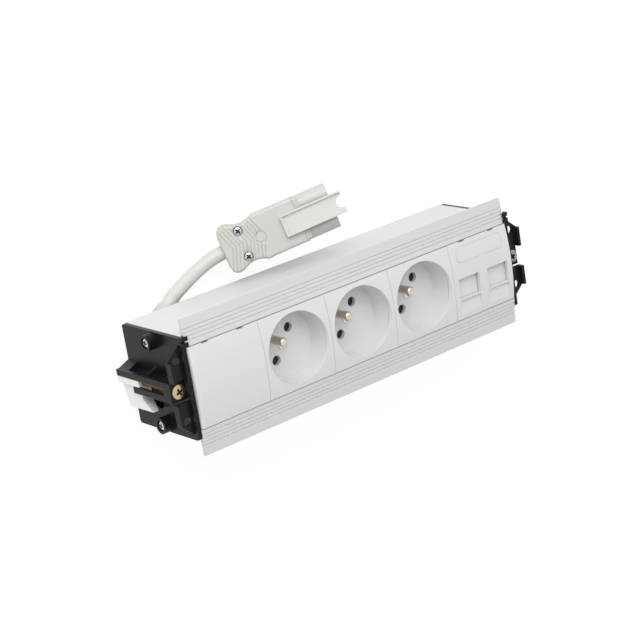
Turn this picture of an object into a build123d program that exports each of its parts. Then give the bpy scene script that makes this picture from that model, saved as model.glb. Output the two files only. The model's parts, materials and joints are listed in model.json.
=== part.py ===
# In-desk power module: a white aluminium housing with five 45 mm snap-in modules, three of them
# earthed sockets, black end caps with desk clamps, and a short cord to a building connector.
# Millimetres. +X runs along the housing, +Y across it, +Z out of the module faces.
# The origin is on the surface that the rear cover rests on, under the middle of the housing.

import os
from math import cos, pi, radians, sin, tan

from build123d import *

os.makedirs("parts", exist_ok=True)


def save(builder, name):
    """Label a finished piece and write it as one STEP file."""
    builder.part.label = name
    export_step(builder.part, f"parts/{name}.step")


# Driving dimensions of the housing and its modules
module_pitch = 45.0
module_gap = 0.2
socket_count = 3
end_gap = 0.3
rear_cover_depth = 13.0
housing_depth = 55.0
wall = 2.0
wall_outer = 28.0
flange_reach = 37.6
flange_thickness = 3.0
flange_tip_thickness = 1.0
flange_slope = 2.0
lip_depth = 5.0
module_clearance = 0.35
ridge_pitch = 2.05
ridge_count = 4
ridge_start = 25.6
groove_radius = 0.5
port_height = 27.4
port_offset = 23.0
port_wall = 1.9
port_bore = 1.45

module_count = socket_count + 2
body_length = module_count * module_pitch + 2 * end_gap
half_length = body_length / 2
back_z = rear_cover_depth
face_z = back_z + housing_depth
wall_inner = wall_outer - wall
lip_inner = module_pitch / 2 + module_clearance
port_z = face_z - port_height
module_x = [(i - (module_count - 1) / 2) * module_pitch for i in range(module_count)]

# Cord: its route is a hand-set list of points, from inside the rear cover to the connector
cord_diameter = 8.0
cord_route = [
    Vector(-97.9, 13.3, 7.0),
    Vector(-92.4, 17.65, 6.95),
    Vector(-83.0, 24.7, 6.3),
    Vector(-75.4, 29.7, 4.7),
    Vector(-65.4, 34.4, 4.05),
    Vector(-54.6, 39.2, 4.05),
    Vector(-43.62, 44.01, 6.96),
    Vector(-33.93, 46.72, 12.94),
]

# Rear cover and the cable outlet in its +Y wall, which points along the cord
cover_half_width = 22.5
cover_half_length = 106.0
cover_wall = 1.8
cover_fillet = 3.0
sleeve_radius = 5.7
sleeve_bore = 4.5
sleeve_tip_radius = 5.0
sleeve_inside = 7.8
sleeve_outside = 12.4
sleeve_taper_start = 10.0
sleeve_hole_beyond = 12.0
wire_radius = 1.0
wire_spacing = 2.7
wire_drop = 2.6
wire_window = 5.5
wire_run_z = 24.0
cord_start_dir = (cord_route[1] - cord_route[0]).normalized()
cord_start_side = Vector(-cord_start_dir.Y, cord_start_dir.X, 0)
wire_entry = cord_route[0] - cord_start_dir * wire_drop
sleeve_dir = (cord_route[2] - cord_route[0]).normalized()

# Housing: one extrusion with a closed back, front lips, grooved flanges and four screw ports
with BuildPart() as housing_profile:
    with BuildSketch(Plane.YZ.offset(-half_length)):
        with BuildLine():
            Polyline(
                (0, back_z),
                (wall_outer, back_z),
                (wall_outer, face_z - flange_thickness),
                (flange_reach, face_z - flange_slope - flange_tip_thickness),
                (flange_reach, face_z - flange_slope),
                (lip_inner, face_z - 0.2),
                (lip_inner, face_z - lip_depth),
                (wall_inner, face_z - lip_depth),
                (wall_inner, back_z + wall),
                (0, back_z + wall),
                close=True,
            )
        make_face()
        with Locations((port_offset, port_z)):
            Circle(port_bore + port_wall)
        with Locations((port_offset, port_z)):
            Circle(port_bore, mode=Mode.SUBTRACT)
        for i in range(ridge_count):
            groove_y = ridge_start + i * ridge_pitch
            share = (groove_y - lip_inner) / (flange_reach - lip_inner)
            with Locations((groove_y, face_z - 0.2 - share * (flange_slope - 0.2))):
                Circle(groove_radius, mode=Mode.SUBTRACT)
        mirror(about=Plane.YZ)
    extrude(amount=body_length)
    # Round opening in the back for the internal wires
    with BuildSketch(Plane.XY.offset(back_z)):
        with Locations((wire_entry.X, wire_entry.Y)):
            Circle(wire_window)
    extrude(amount=wall, mode=Mode.SUBTRACT)
save(housing_profile, "housing_profile")

# Rear cover: a moulded tray under the closed back, with the oblique cable outlet in its +Y wall
cover_screw_inset = 14.0
cover_screw_share = -0.443
cover_screw_places = (
    (cover_screw_share * cover_half_length, 0),
    (cover_half_length - cover_screw_inset, 0),
)
cover_screw_bore = 1.7
cover_boss_radius = 4.0
cover_screw_head = 3.0
cover_screw_head_height = 1.8
cover_head_depth = 0.4
sleeve_start = cord_route[1] - sleeve_dir * sleeve_inside
sleeve_length = sleeve_inside + sleeve_outside
sleeve_plane = Plane(origin=sleeve_start, x_dir=(0, 0, 1), z_dir=sleeve_dir)

with BuildPart() as rear_cover:
    with BuildSketch():
        RectangleRounded(2 * cover_half_length, 2 * cover_half_width, cover_fillet)
    extrude(amount=rear_cover_depth)
    with BuildSketch(Plane.XY.offset(cover_wall)):
        RectangleRounded(
            2 * (cover_half_length - cover_wall),
            2 * (cover_half_width - cover_wall),
            cover_fillet - cover_wall,
        )
    extrude(amount=rear_cover_depth, mode=Mode.SUBTRACT)
    with BuildSketch(Plane.XY.offset(cover_wall)):
        with Locations(*cover_screw_places):
            Circle(cover_boss_radius)
    extrude(amount=rear_cover_depth - cover_wall)
    with BuildSketch():
        with Locations(*cover_screw_places):
            Circle(cover_screw_head + 0.2)
    extrude(amount=cover_head_depth + cover_screw_head_height, mode=Mode.SUBTRACT)
    with BuildSketch():
        with Locations(*cover_screw_places):
            Circle(cover_screw_bore)
    extrude(amount=rear_cover_depth, mode=Mode.SUBTRACT)
    with BuildSketch(sleeve_plane):
        Circle(sleeve_radius + 0.05)
    extrude(amount=sleeve_length + sleeve_hole_beyond, mode=Mode.SUBTRACT)
save(rear_cover, "rear_cover")

# Two screws hold the rear cover to the housing's back
with BuildPart() as rear_cover_screws:
    with BuildSketch(Plane.XY.offset(cover_head_depth)):
        with Locations(*cover_screw_places):
            Circle(cover_screw_head)
    extrude(amount=cover_screw_head_height)
    with BuildSketch(Plane.XY.offset(cover_head_depth)):
        with Locations(*cover_screw_places):
            Circle(cover_screw_bore - 0.1)
    extrude(amount=rear_cover_depth - cover_head_depth)
save(rear_cover_screws, "rear_cover_screws")

# Strain relief: a moulded sleeve round the cord, held in the rear cover's wall
with BuildPart() as strain_relief:
    with BuildSketch(sleeve_plane):
        Circle(sleeve_radius)
    extrude(amount=sleeve_taper_start)
    with BuildSketch(sleeve_plane.offset(sleeve_taper_start)):
        Circle(sleeve_radius)
    with BuildSketch(sleeve_plane.offset(sleeve_length)):
        Circle(sleeve_tip_radius)
    loft()
    with BuildSketch(sleeve_plane):
        Circle(sleeve_bore)
    extrude(amount=sleeve_length, mode=Mode.SUBTRACT)
save(strain_relief, "strain_relief")

# End caps: each is one moulding with its plate, two screw bosses and the clamp bracket.
# Sizes below run outward from the end of the housing, along -X at the left end.
cap_thickness = 2.5
cap_front = 0.7
cap_corner = 1.6
nub_rise = 0.5
nub_cover = 1.4
nub_width = 2.2
nub_y = (24.2, 27.6)
boss_radius = 4.5
boss_length = 5.0
boss_recess_radius = 3.0
boss_recess_depth = 2.2
knockout_radius = 3.6
knockout_y = -12.0
knockout_depth = 31.5
bracket_reach = 11.1
bracket_root_half = 24.6
bracket_tip_half = 17.2
bracket_top = 3.4
bracket_thickness = 1.6
bracket_hole_radius = 2.3
bracket_hole_reach = 5.7
bracket_hole_y = 16.5
lip_wall = 1.8
lip_top = 0.5
notch_half = 6.0
block_top = 5.6
block_bottom = 12.3
screw_reach = 6.5
rail_slot_half = 2.1
rail_outer_half = 5.5
rail_wall = 2.0
top_rail_end = 55.0
bottom_rail_end = 41.0
tray_floor = (3.6, 4.6)
rib_rise = 8.3
rib_width = 2.0
rib_depths = (30.0, 46.0)
clamp_shank_radius = 1.95
clamp_bore = 2.1


def cap_x(reach):
    """The X of a point that stands this far out of the housing's left end."""
    return -half_length - reach


with BuildPart() as end_cap_left:
    with BuildSketch(Plane.YZ.offset(cap_x(cap_thickness))):
        with BuildLine():
            Polyline(
                (0, back_z),
                (wall_outer, back_z),
                (wall_outer, face_z - cap_front),
                (0, face_z - cap_front),
                close=True,
            )
        make_face()
        mirror(about=Plane.YZ)
    extrude(amount=cap_thickness)
    fillet(end_cap_left.edges().filter_by(Axis.X), cap_corner)
    # Two small nubs at the cord's side hook over the end of the flange
    with BuildSketch(Plane.XY.offset(face_z - cap_front - cap_corner)):
        with Locations(*((cap_x(cap_thickness / 2), y) for y in nub_y)):
            Rectangle(cap_thickness, nub_width)
    extrude(amount=cap_front + cap_corner + nub_rise)
    with BuildSketch(Plane.XY.offset(face_z)):
        with Locations(*((cap_x((cap_thickness - nub_cover) / 2), y) for y in nub_y)):
            Rectangle(cap_thickness + nub_cover, nub_width)
    extrude(amount=nub_rise)
    # Screw bosses
    with BuildSketch(Plane.YZ.offset(cap_x(cap_thickness + boss_length))):
        with Locations((port_offset, port_z), (-port_offset, port_z)):
            Circle(boss_radius)
    extrude(amount=boss_length)
    # Front plate with sloped ends
    with BuildSketch(Plane.XY.offset(face_z - bracket_top - bracket_thickness)):
        with BuildLine():
            Polyline(
                (cap_x(cap_thickness), bracket_root_half),
                (cap_x(bracket_reach), bracket_tip_half),
                (cap_x(bracket_reach), -bracket_tip_half),
                (cap_x(cap_thickness), -bracket_root_half),
                close=True,
            )
        make_face()
        with Locations(
            (cap_x(bracket_hole_reach), bracket_hole_y),
            (cap_x(bracket_hole_reach), -bracket_hole_y),
        ):
            Circle(bracket_hole_radius, mode=Mode.SUBTRACT)
    extrude(amount=bracket_thickness)
    # Raised lips along the plate's outer edge
    lip_length = bracket_tip_half - notch_half
    with BuildSketch(Plane.XY.offset(face_z - bracket_top)):
        with Locations(
            (cap_x(bracket_reach - lip_wall / 2), notch_half + lip_length / 2),
            (cap_x(bracket_reach - lip_wall / 2), -notch_half - lip_length / 2),
        ):
            Rectangle(lip_wall, lip_length)
    extrude(amount=bracket_top - lip_top)
    # Notch for the clamp screw's head, with the solid block below it
    with BuildSketch(Plane.XY.offset(face_z - block_top)):
        with Locations((cap_x((cap_thickness + bracket_reach) / 2), 0)):
            Rectangle(bracket_reach - cap_thickness, 2 * notch_half)
    extrude(amount=block_top, mode=Mode.SUBTRACT)
    with BuildSketch(Plane.XY.offset(face_z - block_bottom)):
        with Locations((cap_x((cap_thickness + bracket_reach) / 2), 0)):
            Rectangle(bracket_reach - cap_thickness, 2 * rail_outer_half)
    extrude(amount=block_bottom - block_top)
    # Rails of the clamp's slot: the long one carries the ribbed tray, the short one is free
    with BuildSketch(Plane.XY.offset(face_z - top_rail_end)):
        with Locations(
            (cap_x(bracket_reach - rail_wall / 2), (rail_slot_half + rail_outer_half) / 2)
        ):
            Rectangle(rail_wall, rail_outer_half - rail_slot_half)
        with Locations(
            (cap_x((cap_thickness + bracket_reach) / 2), sum(tray_floor) / 2)
        ):
            Rectangle(bracket_reach - cap_thickness, tray_floor[1] - tray_floor[0])
    extrude(amount=top_rail_end - block_bottom)
    with BuildSketch(Plane.XY.offset(face_z - bottom_rail_end)):
        with Locations(
            (cap_x(bracket_reach - rail_wall / 2), -(rail_slot_half + rail_outer_half) / 2)
        ):
            Rectangle(rail_wall, rail_outer_half - rail_slot_half)
    extrude(amount=bottom_rail_end - block_bottom)
    # Sloped end pad and ribs of the tray
    for depth, width in (
        (top_rail_end, top_rail_end - rib_depths[1]),
        (rib_depths[0], rib_width),
    ):
        with BuildSketch(Plane.XY.offset(face_z - depth)):
            with BuildLine():
                Polyline(
                    (cap_x(cap_thickness), tray_floor[0]),
                    (cap_x(cap_thickness), rib_rise),
                    (cap_x(bracket_reach - rail_wall), rail_outer_half),
                    (cap_x(bracket_reach - rail_wall), tray_floor[0]),
                    close=True,
                )
            make_face()
        extrude(amount=width)
    # Bores: clamp screw, end-cap screws with their recesses, and the round knock-out
    with BuildSketch(Plane.XY.offset(face_z - block_bottom)):
        with Locations((cap_x(screw_reach), 0)):
            Circle(clamp_bore)
    extrude(amount=block_bottom - block_top, mode=Mode.SUBTRACT)
    with BuildSketch(Plane.YZ.offset(cap_x(cap_thickness + boss_length))):
        with Locations((port_offset, port_z), (-port_offset, port_z)):
            Circle(boss_recess_radius)
    extrude(amount=boss_recess_depth, mode=Mode.SUBTRACT)
    with BuildSketch(Plane.YZ.offset(cap_x(cap_thickness + boss_length))):
        with Locations((port_offset, port_z), (-port_offset, port_z)):
            Circle(port_bore + 0.2)
        with Locations((knockout_y, face_z - knockout_depth)):
            Circle(knockout_radius)
    extrude(amount=cap_thickness + boss_length, mode=Mode.SUBTRACT)
save(end_cap_left, "end_cap_left")

# Screws of the left end cap, in the housing's ports
cap_screw_head = 2.6
cap_screw_head_height = 1.9
cap_screw_length = 16.0
cap_screw_radius = 1.4
with BuildPart() as end_cap_screws_left:
    seat_x = cap_x(cap_thickness + boss_length - boss_recess_depth)
    with BuildSketch(Plane.YZ.offset(seat_x - cap_screw_head_height)):
        with Locations((port_offset, port_z), (-port_offset, port_z)):
            Circle(cap_screw_head)
    extrude(amount=cap_screw_head_height)
    with BuildSketch(Plane.YZ.offset(seat_x)):
        with Locations((port_offset, port_z), (-port_offset, port_z)):
            Circle(cap_screw_radius)
    extrude(amount=cap_screw_length)
save(end_cap_screws_left, "end_cap_screws_left")

# Clamp screw: zinc-plated, with a cross recess in its domed head
clamp_head_radius = 3.9
clamp_head_height = 1.6
clamp_head_edge = 0.5
clamp_screw_end = 60.0
cross_width = 1.2
cross_length = 5.0
cross_depth = 1.0
with BuildPart() as clamp_screw_left:
    with BuildSketch(Plane.XY.offset(face_z - block_top)):
        with Locations((cap_x(screw_reach), 0)):
            Circle(clamp_head_radius)
    extrude(amount=clamp_head_height)
    fillet(clamp_screw_left.edges().group_by(Axis.Z)[-1], clamp_head_height - clamp_head_edge)
    with BuildSketch(Plane.XY.offset(face_z - block_top + clamp_head_height)):
        with Locations((cap_x(screw_reach), 0)):
            Rectangle(cross_length, cross_width)
            Rectangle(cross_width, cross_length)
    extrude(amount=-cross_depth, mode=Mode.SUBTRACT)
    with BuildSketch(Plane.XY.offset(face_z - clamp_screw_end)):
        with Locations((cap_x(screw_reach), 0)):
            Circle(clamp_shank_radius)
    extrude(amount=clamp_screw_end - block_top)
save(clamp_screw_left, "clamp_screw_left")

# Clamp claw: a white nut block that the screw draws forward along the slot, its tooth outward
claw_inner = 2.9
claw_outer = 8.8
claw_guide_outer = 10.8
claw_top = 3.3
claw_guide_half = 1.8
claw_back = 55.5
claw_front = 35.7
claw_heel = (-0.1, 57.2)
claw_heel_foot = (-2.6, 54.4)
tooth_root = (-9.5, 37.4)
tooth_tip = (-15.3, 29.4)
tooth_heel = (-15.6, 50.8)
tooth_cut = 2.4
claw_bore = 2.05
with BuildPart() as clamp_claw_left:
    with BuildSketch(Plane.YZ.offset(cap_x(claw_outer))):
        with BuildLine():
            Polyline(
                (claw_top, face_z - claw_back),
                (claw_top, face_z - claw_front),
                (-1.0, face_z - claw_front),
                (tooth_root[0], face_z - tooth_root[1]),
                (tooth_tip[0], face_z - tooth_tip[1]),
                (tooth_heel[0], face_z - tooth_heel[1]),
                (claw_heel_foot[0], face_z - claw_heel_foot[1]),
                (claw_heel[0], face_z - claw_heel[1]),
                close=True,
            )
        make_face()
    extrude(amount=claw_outer - claw_inner)
    # The tooth narrows towards its tip on the cap's side
    with BuildSketch(Plane.XZ.offset(-tooth_root[0])):
        with BuildLine():
            Polyline(
                (cap_x(claw_inner), face_z - tooth_root[1]),
                (cap_x(claw_inner + tooth_cut), face_z - tooth_tip[1]),
                (cap_x(claw_inner + tooth_cut), face_z),
                (cap_x(claw_inner) + 1, face_z),
                (cap_x(claw_inner) + 1, face_z - tooth_root[1]),
                close=True,
            )
        make_face()
    extrude(amount=tooth_root[0] - tooth_heel[0] + 1, mode=Mode.SUBTRACT)
    with BuildSketch(Plane.YZ.offset(cap_x(claw_guide_outer))):
        with Locations((0, face_z - (claw_back + claw_front) / 2)):
            Rectangle(2 * claw_guide_half, claw_back - claw_front)
    extrude(amount=claw_guide_outer - claw_outer)
    with BuildSketch(Plane.XY.offset(face_z - claw_heel[1] - 1)):
        with Locations((cap_x(screw_reach), 0)):
            Circle(claw_bore)
    extrude(amount=claw_heel[1], mode=Mode.SUBTRACT)
save(clamp_claw_left, "clamp_claw_left")

# The right end is the left end's mirror image
for left, name in (
    (end_cap_left, "end_cap_right"),
    (end_cap_screws_left, "end_cap_screws_right"),
    (clamp_screw_left, "clamp_screw_right"),
    (clamp_claw_left, "clamp_claw_right"),
):
    with BuildPart() as right:
        add(mirror(left.part, about=Plane.YZ, mode=Mode.PRIVATE))
    save(right, name)

# Snap-in module fronts share one convex section with skirts and two pairs of hooks
module_width = module_pitch - module_gap
module_half = module_pitch / 2 - 0.1
module_bulge = 2.0
front_thickness = 2.2
skirt = 9.0
skirt_wall = 1.6
hook_reach = 1.6
hook_height = 1.6
hook_width = 9.0
hook_offset = 12.0
hook_gap = 0.1


def module_front(x_middle):
    """The hollow, convex front of one module, with its skirts and hooks."""
    start = Plane.YZ.offset(x_middle - module_width / 2)
    inner_half = module_half - skirt_wall
    inner_top = face_z - front_thickness + 0.2
    hook_y = module_half + hook_reach / 2
    with BuildPart() as front:
        with BuildSketch(start):
            with BuildLine():
                ThreePointArc((-module_half, face_z), (0, face_z + module_bulge), (module_half, face_z))
                Polyline(
                    (module_half, face_z),
                    (module_half, face_z - skirt),
                    (-module_half, face_z - skirt),
                    (-module_half, face_z),
                )
            make_face()
        extrude(amount=module_width)
        with BuildSketch(start.offset(skirt_wall)):
            with BuildLine():
                ThreePointArc(
                    (-inner_half, inner_top), (0, inner_top + module_bulge), (inner_half, inner_top)
                )
                Polyline(
                    (inner_half, inner_top),
                    (inner_half, face_z - skirt),
                    (-inner_half, face_z - skirt),
                    (-inner_half, inner_top),
                )
            make_face()
        extrude(amount=module_width - 2 * skirt_wall, mode=Mode.SUBTRACT)
        with BuildSketch(Plane.XY.offset(face_z - lip_depth - hook_gap - hook_height)):
            for hook_x in (x_middle - hook_offset, x_middle + hook_offset):
                with Locations((hook_x, hook_y), (hook_x, -hook_y)):
                    Rectangle(hook_width, hook_reach)
        extrude(amount=hook_height)
    return front.part


# Release notches: two small slots in the +Y edge of the blank plate and of the data plate
notch_length = 4.5
notch_width = 0.8
notch_depth = 3.0
notch_offset = 11.3


def release_notches(x_middle):
    """The tool that cuts the two release notches in the +Y edge of a module."""
    with BuildPart() as notches:
        with BuildSketch(Plane.XY.offset(face_z - notch_depth)):
            with Locations((x_middle - notch_offset, module_half), (x_middle + notch_offset, module_half)):
                Rectangle(notch_length, 2 * notch_width)
        extrude(amount=notch_depth + module_bulge)
    return notches.part


blank_edge = 1.6
with BuildPart() as blank_module:
    add(module_front(module_x[0]))
    fillet(blank_module.edges().filter_by(GeomType.CIRCLE).sort_by(Axis.X)[0], blank_edge)
    add(release_notches(module_x[0]), mode=Mode.SUBTRACT)
save(blank_module, "blank_module")

# Sockets: recess, contact holes and the male earth pin
recess_radius = 19.75
recess_floor_radius = 19.3
recess_floor = 13.0
cup_wall = 1.5
cup_floor = 2.5
rim_bevel = 0.5
hole_line_angle = 55.0
hole_spacing = 19.0
hole_radius = 2.75
earth_angle = hole_line_angle + 90.0
earth_offset = 10.0
earth_radius = 2.38
earth_shaft_radius = 1.8
earth_shoulder = 12.6
earth_tip = 1.5
earth_collar_radius = 3.4
earth_collar_height = 1.6
earth_end = 31.0
socket_screw_radius = 1.45
socket_screw_head = 2.9
socket_screw_head_height = 1.0
shutter_gap = 0.3
shutter_thickness = 1.6
shutter_hub = 4.6
shutter_boss = 3.0
shutter_outer = 13.6
shutter_half_angle = 17.5
base_half = (20.2, 18.6)
base_bottom = 36.0
base_wall = 1.5

hole_u = Vector(cos(radians(hole_line_angle)), sin(radians(hole_line_angle)), 0)
earth_u = Vector(cos(radians(earth_angle)), sin(radians(earth_angle)), 0)
cup_bottom = recess_floor + cup_floor
base_top = cup_bottom
shutter_top = cup_bottom + shutter_gap


def at(x_middle, direction=Vector(0, 0, 0), distance=0.0, z=0.0):
    """A place in a socket: its middle, moved along a direction, at a height."""
    return (x_middle + direction.X * distance, direction.Y * distance, z)


for number in range(1, socket_count + 1):
    x_middle = module_x[number]
    line_hole = at(x_middle, hole_u, hole_spacing / 2)[:2]
    neutral_hole = at(x_middle, hole_u, -hole_spacing / 2)[:2]
    earth_place = at(x_middle, earth_u, earth_offset)[:2]
    middle = (x_middle, 0)

    with BuildPart() as socket_front:
        add(module_front(x_middle))
        with BuildSketch(Plane.XY.offset(face_z - cup_bottom)):
            with Locations(middle):
                Circle(recess_radius + cup_wall)
        extrude(amount=cup_bottom - 0.5)
        with BuildSketch(Plane(origin=(x_middle, 0, face_z), x_dir=(1, 0, 0), z_dir=(0, -1, 0))):
            with BuildLine():
                Polyline(
                    (0, -recess_floor),
                    (recess_floor_radius, -recess_floor),
                    (recess_radius, 0),
                    (recess_radius + rim_bevel, module_bulge + rim_bevel),
                    (0, module_bulge + rim_bevel),
                    close=True,
                )
            make_face()
        revolve(axis=Axis((x_middle, 0, 0), (0, 0, 1)), mode=Mode.SUBTRACT)
        # Spigot under the floor that the shutter turns on
        with BuildSketch(Plane.XY.offset(face_z - cup_bottom)):
            with Locations(middle):
                Circle(shutter_boss)
        extrude(amount=-shutter_gap - shutter_thickness - 0.2)
        with BuildSketch(Plane.XY.offset(face_z - recess_floor)):
            with Locations(line_hole, neutral_hole):
                Circle(hole_radius)
            with Locations(earth_place):
                Circle(earth_shaft_radius + 0.02)
            with Locations(middle):
                Circle(socket_screw_radius)
        extrude(amount=-cup_floor - 4, mode=Mode.SUBTRACT)
    save(socket_front, f"socket_front_{number}")

    with BuildPart() as socket_base:
        with BuildSketch(Plane.XY.offset(face_z - base_bottom)):
            with Locations(middle):
                RectangleRounded(2 * base_half[0], 2 * base_half[1], 3)
        extrude(amount=base_bottom - base_top)
        with BuildSketch(Plane.XY.offset(face_z - base_bottom + base_wall)):
            with Locations(middle):
                RectangleRounded(2 * (base_half[0] - base_wall), 2 * (base_half[1] - base_wall), 2)
        extrude(amount=base_bottom, mode=Mode.SUBTRACT)
        # Pillar for the central screw
        with BuildSketch(Plane.XY.offset(face_z - base_bottom + base_wall)):
            with Locations(middle):
                Circle(shutter_boss)
        extrude(amount=base_bottom - base_wall - shutter_top - shutter_thickness - 0.3)
        with BuildSketch(Plane.XY.offset(face_z - base_top)):
            with Locations(middle):
                Circle(socket_screw_radius)
        extrude(amount=-(base_bottom - base_top - base_wall), mode=Mode.SUBTRACT)
    save(socket_base, f"socket_base_{number}")

    with BuildPart() as earth_pin:
        with BuildSketch(Plane.XY.offset(face_z - earth_end)):
            with Locations(earth_place):
                Circle(earth_shaft_radius)
        extrude(amount=earth_end - earth_shoulder)
        with BuildSketch(Plane.XY.offset(face_z - earth_shoulder)):
            with Locations(earth_place):
                Circle(earth_radius)
        extrude(amount=earth_shoulder + earth_tip)
        fillet(earth_pin.edges().group_by(Axis.Z)[-1], earth_radius - 0.58)
        with BuildSketch(Plane.XY.offset(face_z - cup_bottom - earth_collar_height)):
            with Locations(earth_place):
                Circle(earth_collar_radius)
        extrude(amount=earth_collar_height)
    save(earth_pin, f"earth_pin_{number}")

    with BuildPart() as socket_screw:
        with BuildSketch(Plane.XY.offset(face_z - recess_floor)):
            with Locations(middle):
                Circle(socket_screw_head)
        extrude(amount=socket_screw_head_height)
        with BuildSketch(Plane.XY.offset(face_z - recess_floor)):
            with Locations(middle):
                Circle(socket_screw_radius - 0.05)
        extrude(amount=-(base_bottom - base_wall - recess_floor - 3))
    save(socket_screw, f"socket_screw_{number}")

    # Shutter: a bow tie that turns about the spigot and covers both contact holes
    with BuildPart() as socket_shutter:
        shutter_plane = Plane(
            origin=(x_middle, 0, face_z - shutter_top - shutter_thickness),
            x_dir=hole_u,
            z_dir=(0, 0, 1),
        )
        with BuildSketch(shutter_plane):
            Circle(shutter_outer)
            half_chord = shutter_outer * tan(radians(shutter_half_angle))
            with BuildSketch(mode=Mode.INTERSECT):
                with BuildLine():
                    Polyline(
                        (0, 0),
                        (shutter_outer, half_chord),
                        (shutter_outer, -half_chord),
                        (0, 0),
                    )
                make_face()
                mirror(about=Plane.YZ)
                Circle(shutter_hub)
            Circle(shutter_boss + 0.1, mode=Mode.SUBTRACT)
        extrude(amount=shutter_thickness)
    save(socket_shutter, f"socket_shutter_{number}")

    # Contacts: a sprung brass fork under each hole
    contact_top = shutter_top + shutter_thickness + 0.5
    contact_bottom = base_bottom - base_wall
    contact_size = (7.0, 6.0)
    contact_slot = (5.0, 4.9)
    with BuildPart() as contacts:
        for side in (-1, 1):
            contact_plane = Plane(
                origin=at(x_middle, hole_u, side * hole_spacing / 2, face_z - contact_bottom),
                x_dir=hole_u,
                z_dir=(0, 0, 1),
            )
            with BuildSketch(contact_plane):
                Rectangle(*contact_size)
            extrude(amount=contact_bottom - contact_top)
            with BuildSketch(contact_plane.offset(1.0)):
                Rectangle(contact_slot[0], contact_slot[1] + 2)
            extrude(amount=contact_bottom, mode=Mode.SUBTRACT)
    save(contacts, f"contacts_{number}")

# Data plate: label field, two windows with sliding shutters and finger recesses below them
data_x = module_x[-1]
label_size = (35.5, 9.2)
label_y = 14.7
label_corner = 3.0
label_groove = 0.5
label_depth = 0.2
window_width = 15.7
window_top = 1.6
window_bottom = -10.3
window_offset = 11.1
ridge_width = 0.8
finger_end = -19.4
finger_depth = 1.3
data_shutter_top = 0.9
data_shutter_thickness = 1.4
data_shutter_overlap = 1.2
shutter_guide_gap = 0.1
guide_wall = 0.8
guide_foot = 1.0
guide_length = 24.0
guide_middle = -8.8

window_x = (data_x - window_offset, data_x + window_offset)
window_middle = (window_top + window_bottom) / 2
window_height = window_top - window_bottom
guide_half = window_width / 2 + data_shutter_overlap + shutter_guide_gap
inner_half = module_half - skirt_wall


def front_z(y):
    """The height of the modules' convex front at this Y, close to its arc."""
    return face_z + module_bulge * (1 - (y / module_half) ** 2)


# Tool for the label field's outline: a shallow groove that follows the convex front
with BuildPart() as label_outline:
    with BuildSketch(Plane.XY.offset(face_z)):
        with Locations((data_x, label_y)):
            RectangleRounded(*label_size, label_corner)
            RectangleRounded(
                label_size[0] - 2 * label_groove,
                label_size[1] - 2 * label_groove,
                label_corner - label_groove,
                mode=Mode.SUBTRACT,
            )
    extrude(amount=module_bulge + 1)
    with BuildSketch(Plane.YZ.offset(data_x - module_half)):
        with BuildLine():
            ThreePointArc(
                (-module_half, face_z - label_depth),
                (0, face_z + module_bulge - label_depth),
                (module_half, face_z - label_depth),
            )
            Polyline(
                (module_half, face_z - label_depth),
                (module_half, face_z + 2 * module_bulge),
                (-module_half, face_z + 2 * module_bulge),
                (-module_half, face_z - label_depth),
            )
        make_face()
    extrude(amount=module_width, mode=Mode.INTERSECT)

with BuildPart() as data_plate:
    add(module_front(data_x))
    # Guides that hold the shutters, and the flat underside that the shutters run under
    for x_window in window_x:
        for side in (-1, 1):
            with BuildSketch(Plane.XY.offset(face_z - data_shutter_top - data_shutter_thickness - 1.1)):
                foot_x = x_window + side * (guide_half + (guide_wall - guide_foot) / 2)
                with Locations((foot_x, guide_middle)):
                    Rectangle(guide_wall + guide_foot, guide_length)
            extrude(amount=guide_foot)
            with BuildSketch(Plane.XY.offset(face_z - data_shutter_top - data_shutter_thickness - 1.1)):
                with Locations((x_window + side * (guide_half + guide_wall / 2), guide_middle)):
                    Rectangle(guide_wall, guide_length)
            extrude(amount=data_shutter_thickness + 1.6)
    with BuildSketch(Plane.XY.offset(face_z - data_shutter_top - data_shutter_thickness - shutter_guide_gap)):
        with Locations(*((x_window, guide_middle) for x_window in window_x)):
            Rectangle(2 * guide_half, guide_length)
    extrude(amount=data_shutter_thickness + 2 * shutter_guide_gap, mode=Mode.SUBTRACT)
    # Windows, and below each a ridge and a recess that fades out into the front
    with BuildSketch(Plane.XY.offset(face_z - data_shutter_top)):
        with Locations(*((x_window, window_middle) for x_window in window_x)):
            Rectangle(window_width, window_height)
    extrude(amount=data_shutter_top + 2 * module_bulge, mode=Mode.SUBTRACT)
    for x_window in window_x:
        with BuildSketch(Plane.YZ.offset(x_window - window_width / 2)):
            with BuildLine():
                recess_top = window_bottom - ridge_width
                Polyline(
                    (recess_top, front_z(recess_top) - finger_depth),
                    (recess_top, face_z + 2 * module_bulge),
                    (finger_end, face_z + 2 * module_bulge),
                    (finger_end, front_z(finger_end) + 0.05),
                    close=True,
                )
            make_face()
        extrude(amount=window_width, mode=Mode.SUBTRACT)
    add(label_outline.part, mode=Mode.SUBTRACT)
    add(release_notches(data_x), mode=Mode.SUBTRACT)
save(data_plate, "data_plate")

for x_window, name in zip(window_x, ("data_shutter_left", "data_shutter_right")):
    with BuildPart() as data_shutter:
        with BuildSketch(Plane.XY.offset(face_z - data_shutter_top - data_shutter_thickness)):
            with Locations((x_window, window_middle)):
                Rectangle(
                    window_width + 2 * data_shutter_overlap, window_height + 2 * data_shutter_overlap
                )
        extrude(amount=data_shutter_thickness)
    save(data_shutter, name)

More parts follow.
